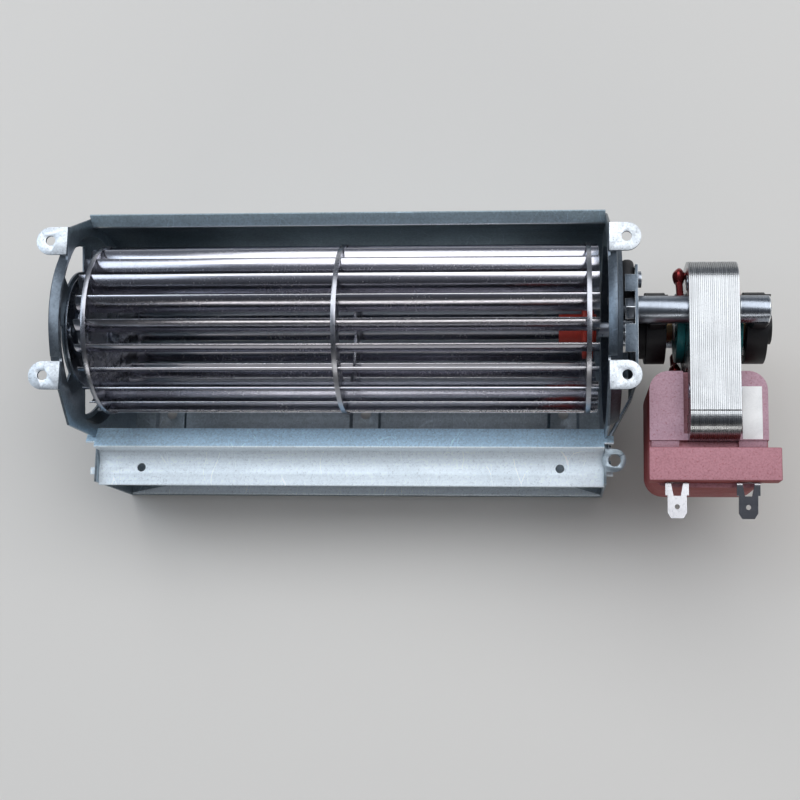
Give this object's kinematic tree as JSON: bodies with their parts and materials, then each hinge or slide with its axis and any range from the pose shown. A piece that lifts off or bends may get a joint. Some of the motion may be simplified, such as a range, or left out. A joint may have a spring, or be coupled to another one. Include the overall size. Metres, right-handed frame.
{
  "type": "tangential cooling fan",
  "caption": "Crossflow cooling fan: long bladed aluminium impeller in a sheet steel housing with a slot outlet, turned by a shaded pole motor on one end.",
  "frame": {"origin": "middle of the four mounting holes, on the tabs' upper face", "axes": "+X along the shaft towards the motor, -Y out of the outlet, +Z out of the open intake side"},
  "size_m": [0.2499, 0.1083, 0.0888],
  "materials": {
    "galvanised_sheet": "galvanised, satin",
    "bright_steel": "zinc plated, bright",
    "impeller_aluminium": "polished",
    "bronze": "sintered",
    "black_rubber": "matt",
    "red_silicone": "satin",
    "lamination": "punched edges",
    "rotor_paint": "satin",
    "black_casting": "matt",
    "copper": "varnished",
    "red_plastic": "matt",
    "terminal_tin": "tinned",
    "washer_plastic": "plain",
    "felt": "felt",
    "label_paper": "matt"
  },
  "bodies": {
    "frame": {"left_end_plate": "galvanised_sheet", "right_end_plate": "galvanised_sheet", "scroll_sheet": "galvanised_sheet", "tongue_sheet": "galvanised_sheet", "motor_bridge": "galvanised_sheet", "bearing_cup": "bright_steel", "cup_rivets": "bright_steel", "bridge_rivets": "bright_steel", "buffer_screws": "bright_steel", "buffer_nuts": "bright_steel", "front_spacer_tubes": "bright_steel", "through_screws": "bright_steel", "through_nuts": "bright_steel", "rear_post_nuts": "bright_steel", "felt_retainers": "bright_steel", "core_rivets": "bright_steel", "impeller_bearing": "bronze", "front_bearing": "bronze", "rear_bearing": "bronze", "bearing_rubber": "black_rubber", "rubber_buffers": "black_rubber", "stator_core": "lamination", "coil_core_bar": "lamination", "front_bearing_bracket": "black_casting", "rear_bearing_bracket": "black_casting", "shading_rings": "copper", "coil_winding": "copper", "coil_cover": "red_plastic", "terminal_block": "red_plastic", "left_terminal": "terminal_tin", "right_terminal": "terminal_tin", "oil_felts": "felt", "blank_label": "label_paper"},
    "impeller": {"left_disc": "impeller_aluminium", "middle_disc": "impeller_aluminium", "right_disc": "impeller_aluminium", "blades": "impeller_aluminium", "stub_axle": "bright_steel", "silicone_hub": "red_silicone", "hub_sleeve": "bright_steel", "motor_shaft": "bright_steel", "rotor_core": "lamination", "rotor_end_rings": "rotor_paint", "thrust_washers": "washer_plastic"}
  },
  "joints": [
    {"name": "impeller_spin", "type": "hinge", "parent": "frame", "child": "impeller", "pos_m": [0, -0.00045, -0.0312], "axis": [-1, 0, 0], "continuous": true}
  ]
}
